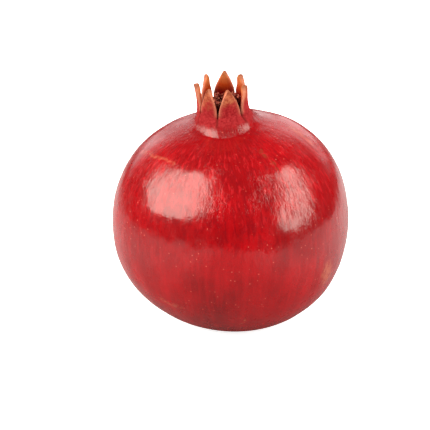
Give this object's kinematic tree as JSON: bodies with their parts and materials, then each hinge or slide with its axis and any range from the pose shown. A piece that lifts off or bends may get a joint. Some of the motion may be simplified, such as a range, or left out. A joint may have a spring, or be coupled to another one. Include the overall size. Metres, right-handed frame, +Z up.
{
  "type": "pomegranate",
  "caption": "Whole fresh pomegranate with a leathery red rind and a dried, toothed crown, standing on its stem end.",
  "frame": {"origin": "on the surface it rests on, under the middle of the fruit's bounding box", "axes": "+Z up through the crown, -Y towards the front (the side the picture shows), +X to the right"},
  "size_m": [0.095, 0.0974, 0.1023],
  "materials": {
    "rind": "waxy, glossy, leathery fruit skin; drier and browner towards the crown's tips",
    "dried_stamen": "dry and dull",
    "dried_style": "dry and dull",
    "stem_wood": "cut, dry, rough"
  },
  "bodies": {
    "root": {"fruit": "rind", "stamen_01": "dried_stamen", "stamen_02": "dried_stamen", "stamen_03": "dried_stamen", "stamen_04": "dried_stamen", "stamen_05": "dried_stamen", "stamen_06": "dried_stamen", "stamen_07": "dried_stamen", "stamen_08": "dried_stamen", "stamen_09": "dried_stamen", "stamen_10": "dried_stamen", "stamen_11": "dried_stamen", "stamen_12": "dried_stamen", "stamen_13": "dried_stamen", "stamen_14": "dried_stamen", "stamen_15": "dried_stamen", "stamen_16": "dried_stamen", "stamen_17": "dried_stamen", "stamen_18": "dried_stamen", "stamen_19": "dried_stamen", "stamen_20": "dried_stamen", "stamen_21": "dried_stamen", "stamen_22": "dried_stamen", "stamen_23": "dried_stamen", "stamen_24": "dried_stamen", "stamen_25": "dried_stamen", "stamen_26": "dried_stamen", "stamen_27": "dried_stamen", "stamen_28": "dried_stamen", "stamen_29": "dried_stamen", "stamen_30": "dried_stamen", "stamen_31": "dried_stamen", "stamen_32": "dried_stamen", "stamen_33": "dried_stamen", "style": "dried_style", "stem_stub": "stem_wood"}
  },
  "joints": []
}
